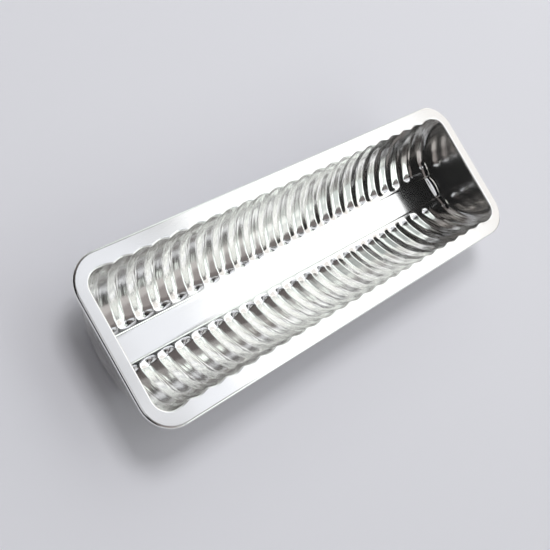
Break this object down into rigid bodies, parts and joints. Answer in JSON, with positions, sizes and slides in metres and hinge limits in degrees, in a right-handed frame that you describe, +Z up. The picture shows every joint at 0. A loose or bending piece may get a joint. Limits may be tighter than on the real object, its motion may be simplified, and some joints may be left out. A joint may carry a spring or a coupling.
{
  "type": "deer back cake pan",
  "caption": "Long half-round ribbed cake pan of thin bright tinplate, with a flat bottom strip, plain steep end walls and a flat flange rolled over a wire.",
  "frame": {"origin": "under the middle of the flat bottom strip, where the pan stands", "axes": "+X along the pan, +Y across it, +Z up out of its mouth"},
  "size_m": [0.3, 0.098, 0.0364],
  "materials": {
    "tinplate": "bright tin, a slightly soft mirror",
    "steel_wire": "drawn, dull"
  },
  "bodies": {
    "root": {"pan_shell": "tinplate", "rim_wire": "steel_wire"}
  },
  "joints": []
}
